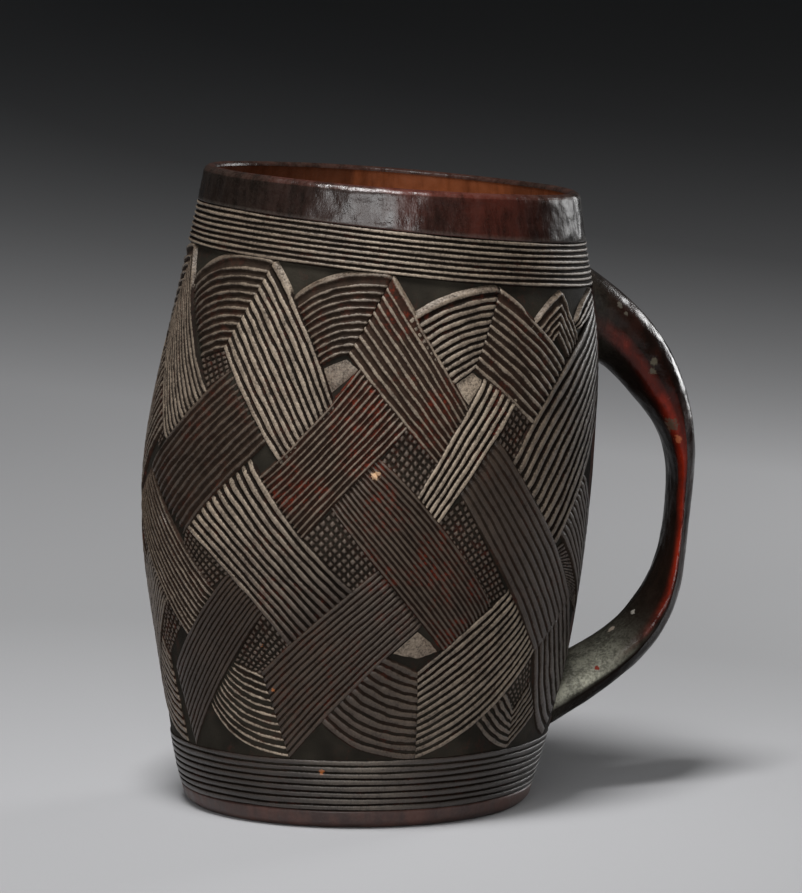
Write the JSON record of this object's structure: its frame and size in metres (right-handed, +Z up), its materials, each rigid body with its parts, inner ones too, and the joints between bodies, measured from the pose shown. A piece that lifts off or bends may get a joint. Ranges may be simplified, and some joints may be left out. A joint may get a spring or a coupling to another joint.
{
  "type": "carved wooden cup",
  "caption": "Barrel-shaped carved wooden drinking cup with lined bands, interlaced strapwork and a loop handle.",
  "frame": {"origin": "centre of the flat foot, on the surface the cup stands on", "axes": "+Z up through the cup, +X towards the handle"},
  "size_m": [0.1549, 0.124, 0.1744],
  "materials": {
    "base": "worn dark hardwood",
    "lower_line_band": "carved dark hardwood",
    "barrel_wall": "dark hardwood, cut ground",
    "falling_straps": "carved hardwood, dusty crests",
    "rising_straps": "carved hardwood, dusty crests",
    "knots": "hatched hardwood",
    "handle_panel": "smooth dark hardwood",
    "upper_line_band": "carved hardwood, dusty crests",
    "rim": "polished by use",
    "handle": "polished by use"
  },
  "bodies": {
    "root": {"base": "base", "lower_line_band": "lower_line_band", "barrel_wall": "barrel_wall", "falling_straps": "falling_straps", "rising_straps": "rising_straps", "knots": "knots", "handle_panel": "handle_panel", "upper_line_band": "upper_line_band", "rim": "rim", "handle": "handle"}
  },
  "joints": []
}
